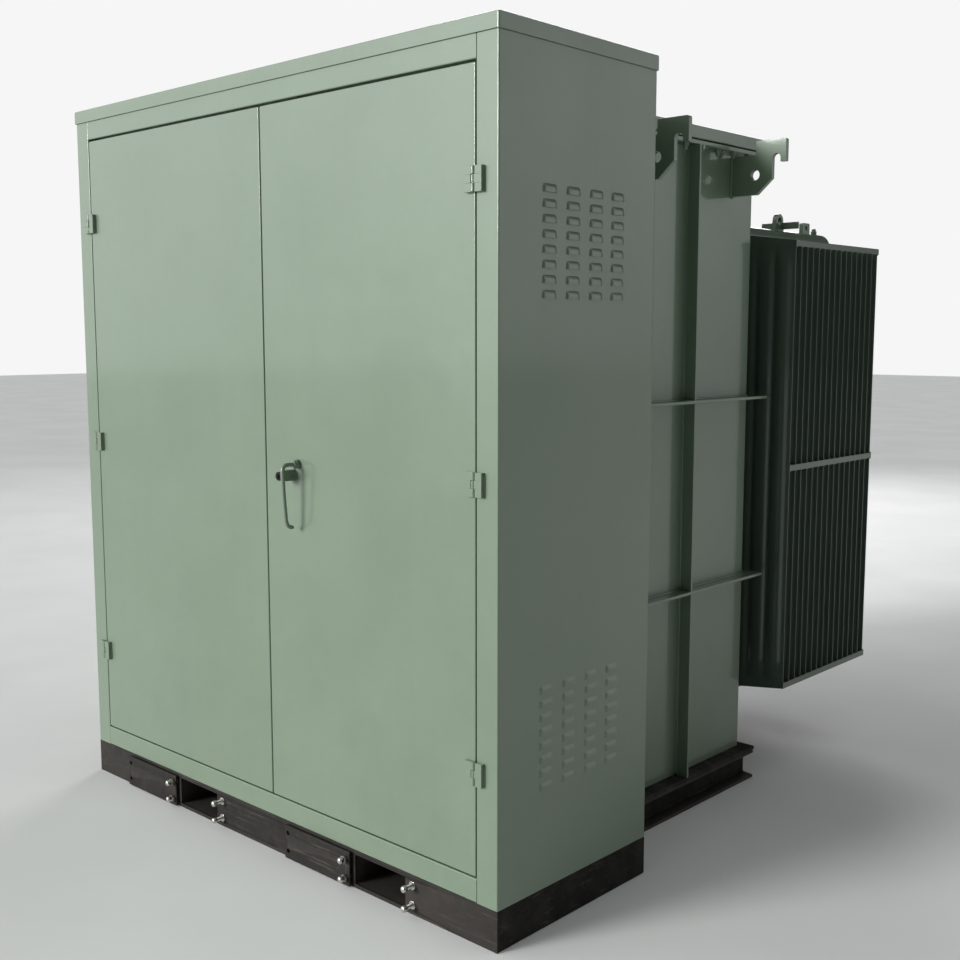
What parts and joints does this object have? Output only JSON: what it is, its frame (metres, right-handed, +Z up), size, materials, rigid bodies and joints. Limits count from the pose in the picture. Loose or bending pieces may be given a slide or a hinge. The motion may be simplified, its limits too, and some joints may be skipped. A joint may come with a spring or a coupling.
{
  "type": "pad-mounted transformer",
  "caption": "Pad-mounted distribution transformer: two-door terminal cabinet on a fork-pocket base, oil tank with belts and lifting lugs, finned radiators behind.",
  "frame": {"origin": "middle of the footprint, on the pad's surface, under the centre of the bounding box", "axes": "+Z up, +Y from the cabinet's doors towards the radiators, +X to the right seen from the doors"},
  "size_m": [1.887, 2.2719, 2.245],
  "materials": {
    "green_paint": "semi-gloss sage green baked enamel",
    "black_paint": "satin black base coating",
    "red_paint": "gloss red enamel",
    "zinc_steel": "zinc plated",
    "lamination": "oiled silicon steel stack",
    "brass": "cast and machined",
    "copper": "bare copper bar",
    "epoxy": "moulded epoxy and rubber",
    "paper": "oiled insulation paper",
    "porcelain": "glazed grey moulding",
    "dial": "white dial behind a lens",
    "gasket": "cork and nitrile sheet"
  },
  "bodies": {
    "root": {"cabinet_base_frame": "black_paint", "fork_cover_left": "black_paint", "fork_cover_right": "black_paint", "cabinet_wall_right": "green_paint", "cabinet_wall_left": "green_paint", "front_header": "green_paint", "front_sill": "green_paint", "cabinet_roof": "green_paint", "compartment_barrier": "green_paint", "hinge_lower_right": "green_paint", "hinge_middle_right": "green_paint", "hinge_upper_right": "green_paint", "hinge_lower_left": "green_paint", "hinge_middle_left": "green_paint", "hinge_upper_left": "green_paint", "tank_shell": "green_paint", "tank_cover": "green_paint", "cover_gasket": "gasket", "tank_base_plate": "black_paint", "base_beam_right": "black_paint", "base_beam_left": "black_paint", "tank_belt_lower": "green_paint", "tank_belt_upper": "green_paint", "lifting_lug_front_right": "green_paint", "lifting_lug_front_left": "green_paint", "lifting_lug_rear_right": "green_paint", "lifting_lug_rear_left": "green_paint", "radiator_left": "green_paint", "radiator_centre": "green_paint", "radiator_right": "green_paint", "core": "lamination", "coil_left": "paper", "coil_centre": "paper", "coil_right": "paper", "hv_bushing_1": "epoxy", "hv_bushing_2": "epoxy", "hv_bushing_3": "epoxy", "lv_bushing_x0": "copper", "lv_bushing_x1": "copper", "lv_bushing_x2": "copper", "lv_bushing_x3": "copper", "liquid_level_gauge": "dial", "thermometer_gauge": "dial", "pressure_relief_valve": "brass", "drain_valve": "brass", "ground_bar": "copper"},
    "left_door": {"left_door": "green_paint"},
    "right_door": {"right_door": "green_paint", "lock_block": "green_paint"},
    "handle": {"door_handle": "green_paint"},
    "upper_rod": {"latch_rod_upper": "zinc_steel"},
    "lower_rod": {"latch_rod_lower": "zinc_steel"},
    "lock_bolt": {"lock_bolt": "black_paint"},
    "fuse_1": {"fuse_holder_1": "porcelain"},
    "fuse_2": {"fuse_holder_2": "porcelain"},
    "fuse_3": {"fuse_holder_3": "porcelain"},
    "switch_handle": {"load_break_switch_handle": "red_paint"},
    "tap_handle": {"tap_changer_handle": "red_paint"},
    "drain_wheel": {"drain_handwheel": "red_paint"},
    "relief_ring": {"relief_pull_ring": "zinc_steel"}
  },
  "joints": [
    {"name": "left_door_hinge", "type": "hinge", "parent": "root", "child": "left_door", "pos_m": [-0.8675, -1.085, 1.163], "axis": [0, 0, -1], "range_deg": [0, 120]},
    {"name": "right_door_hinge", "type": "hinge", "parent": "root", "child": "right_door", "pos_m": [0.8675, -1.085, 1.163], "axis": [0, 0, 1], "range_deg": [0, 120]},
    {"name": "handle_turn", "type": "hinge", "parent": "right_door", "child": "handle", "pos_m": [0.191, -1.076, 1.163], "axis": [0, -1, 0], "range_deg": [0, 90]},
    {"name": "upper_rod_slide", "type": "slide", "parent": "right_door", "child": "upper_rod", "axis": [0, 0, 1], "range_m": [0, 0.0425]},
    {"name": "lower_rod_slide", "type": "slide", "parent": "right_door", "child": "lower_rod", "axis": [0, 0, -1], "range_m": [0, 0.0425]},
    {"name": "lock_bolt_turn", "type": "hinge", "parent": "right_door", "child": "lock_bolt", "pos_m": [0.168, -1.122, 1.131], "axis": [0, -1, 0], "range_deg": [0, 900]},
    {"name": "fuse_1_draw", "type": "slide", "parent": "root", "child": "fuse_1", "axis": [0, -1, 0], "range_m": [0, 0.15]},
    {"name": "fuse_2_draw", "type": "slide", "parent": "root", "child": "fuse_2", "axis": [0, -1, 0], "range_m": [0, 0.15]},
    {"name": "fuse_3_draw", "type": "slide", "parent": "root", "child": "fuse_3", "axis": [0, -1, 0], "range_m": [0, 0.15]},
    {"name": "switch_turn", "type": "hinge", "parent": "root", "child": "switch_handle", "pos_m": [-0.15, -0.476, 1.56], "axis": [0, -1, 0], "range_deg": [0, 90]},
    {"name": "tap_changer_turn", "type": "hinge", "parent": "root", "child": "tap_handle", "pos_m": [-0.15, -0.476, 1.15], "axis": [0, -1, 0], "range_deg": [-60, 60]},
    {"name": "drain_wheel_turn", "type": "hinge", "parent": "root", "child": "drain_wheel", "pos_m": [0.7, -0.571, 0.309], "axis": [0, 0, 1], "range_deg": [0, 1125]},
    {"name": "relief_ring_pull", "type": "slide", "parent": "root", "child": "relief_ring", "axis": [0, -1, 0], "range_m": [0, 0.012], "stiffness_N_per_m": 800}
  ],
  "couplings": [
    {"joint": "upper_rod_slide", "follows": "handle_turn", "m_per_rad": 0.027},
    {"joint": "lower_rod_slide", "follows": "handle_turn", "m_per_rad": 0.027}
  ]
}
